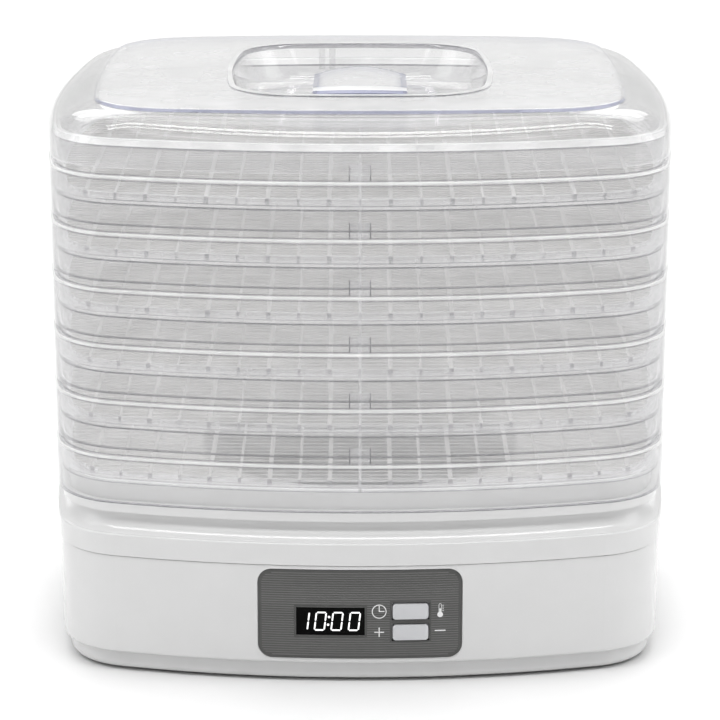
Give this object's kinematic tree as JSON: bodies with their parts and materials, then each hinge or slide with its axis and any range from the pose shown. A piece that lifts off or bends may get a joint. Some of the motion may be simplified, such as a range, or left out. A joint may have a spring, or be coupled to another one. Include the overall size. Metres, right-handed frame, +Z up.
{
  "type": "food dehydrator",
  "caption": "Bowed rounded-rectangle food dehydrator: powered base with display and rocker buttons, stacked clear grid trays and a clear lid with a recessed grip.",
  "frame": {"origin": "centre of the footprint, on the surface the feet stand on", "axes": "+Z up, -Y out of the control panel, +X to the right of the panel"},
  "size_m": [0.314, 0.262, 0.2852],
  "materials": {
    "white_shell": "satin white moulding",
    "clear_plastic": "clear moulded plastic",
    "panel_grey": "dark grey with a fine brushed line",
    "display_black": "black lens",
    "button_grey": "light grey satin",
    "black_plastic": "black moulding",
    "foot_rubber": "matt rubber",
    "steel": "zinc plated",
    "sheet_metal": "galvanised sheet",
    "mica": "mica board",
    "heating_wire": "oxidised resistance wire",
    "motor_iron": "lacquered laminations",
    "circuit_green": "solder mask",
    "component_dark": "moulded components",
    "cable_grey": "flat cable"
  },
  "bodies": {
    "base": {"bottom_plate": "white_shell", "main_housing": "white_shell", "upper_cover": "white_shell", "rubber_feet": "foot_rubber", "base_screws": "steel", "air_outlet_grille": "black_plastic", "control_panel": "panel_grey", "display_window": "display_black", "cord_gland": "black_plastic", "heater_duct": "sheet_metal", "heater_frame": "mica", "heater_coil": "heating_wire", "fan_motor": "motor_iron", "motor_bracket": "sheet_metal", "motor_screws": "steel", "overheat_thermostat": "steel", "thermal_fuse": "steel", "temperature_sensor": "black_plastic", "panel_carrier": "black_plastic", "control_board": "circuit_green", "display_module": "display_black", "tact_switches": "black_plastic", "panel_screws": "steel", "power_board": "circuit_green", "board_components": "component_dark", "board_screws": "steel", "cord_clamp": "black_plastic", "ribbon_cable": "cable_grey"},
    "fan": {"fan_impeller": "black_plastic", "motor_shaft": "steel", "impeller_clip": "steel"},
    "mode_rocker": {"mode_button": "button_grey"},
    "adjust_rocker": {"adjust_button": "button_grey"},
    "tray_6": {"tray_6_wall": "clear_plastic", "tray_6_grid": "clear_plastic"},
    "tray_5": {"tray_5_wall": "clear_plastic", "tray_5_grid": "clear_plastic"},
    "tray_4": {"tray_4_wall": "clear_plastic", "tray_4_grid": "clear_plastic"},
    "tray_3": {"tray_3_wall": "clear_plastic", "tray_3_grid": "clear_plastic"},
    "tray_2": {"tray_2_wall": "clear_plastic", "tray_2_grid": "clear_plastic"},
    "tray_1": {"tray_1_wall": "clear_plastic", "tray_1_grid": "clear_plastic"},
    "lid": {"lid_cover": "clear_plastic", "lid_bowl": "clear_plastic"}
  },
  "joints": [
    {"name": "fan_spin", "type": "hinge", "parent": "base", "child": "fan", "pos_m": [0, 0, 0.05], "axis": [0, 0, 1], "continuous": true},
    {"name": "mode_rock", "type": "hinge", "parent": "base", "child": "mode_rocker", "pos_m": [0.0248, -0.1223, 0.0381], "axis": [0, 0, 1], "range_deg": [-3.5, 3.5], "stiffness_Nm_per_rad": 0.3},
    {"name": "adjust_rock", "type": "hinge", "parent": "base", "child": "adjust_rocker", "pos_m": [0.0248, -0.1223, 0.0273], "axis": [0, 0, 1], "range_deg": [-3.5, 3.5], "stiffness_Nm_per_rad": 0.3},
    {"name": "tray_6_lift", "type": "slide", "parent": "base", "child": "tray_6", "axis": [0, 0, 1], "range_m": [0, 0.045]},
    {"name": "tray_5_lift", "type": "slide", "parent": "tray_6", "child": "tray_5", "axis": [0, 0, 1], "range_m": [0, 0.045]},
    {"name": "tray_4_lift", "type": "slide", "parent": "tray_5", "child": "tray_4", "axis": [0, 0, 1], "range_m": [0, 0.045]},
    {"name": "tray_3_lift", "type": "slide", "parent": "tray_4", "child": "tray_3", "axis": [0, 0, 1], "range_m": [0, 0.045]},
    {"name": "tray_2_lift", "type": "slide", "parent": "tray_3", "child": "tray_2", "axis": [0, 0, 1], "range_m": [0, 0.045]},
    {"name": "tray_1_lift", "type": "slide", "parent": "tray_2", "child": "tray_1", "axis": [0, 0, 1], "range_m": [0, 0.045]},
    {"name": "lid_lift", "type": "slide", "parent": "tray_1", "child": "lid", "axis": [0, 0, 1], "range_m": [0, 0.06]}
  ]
}
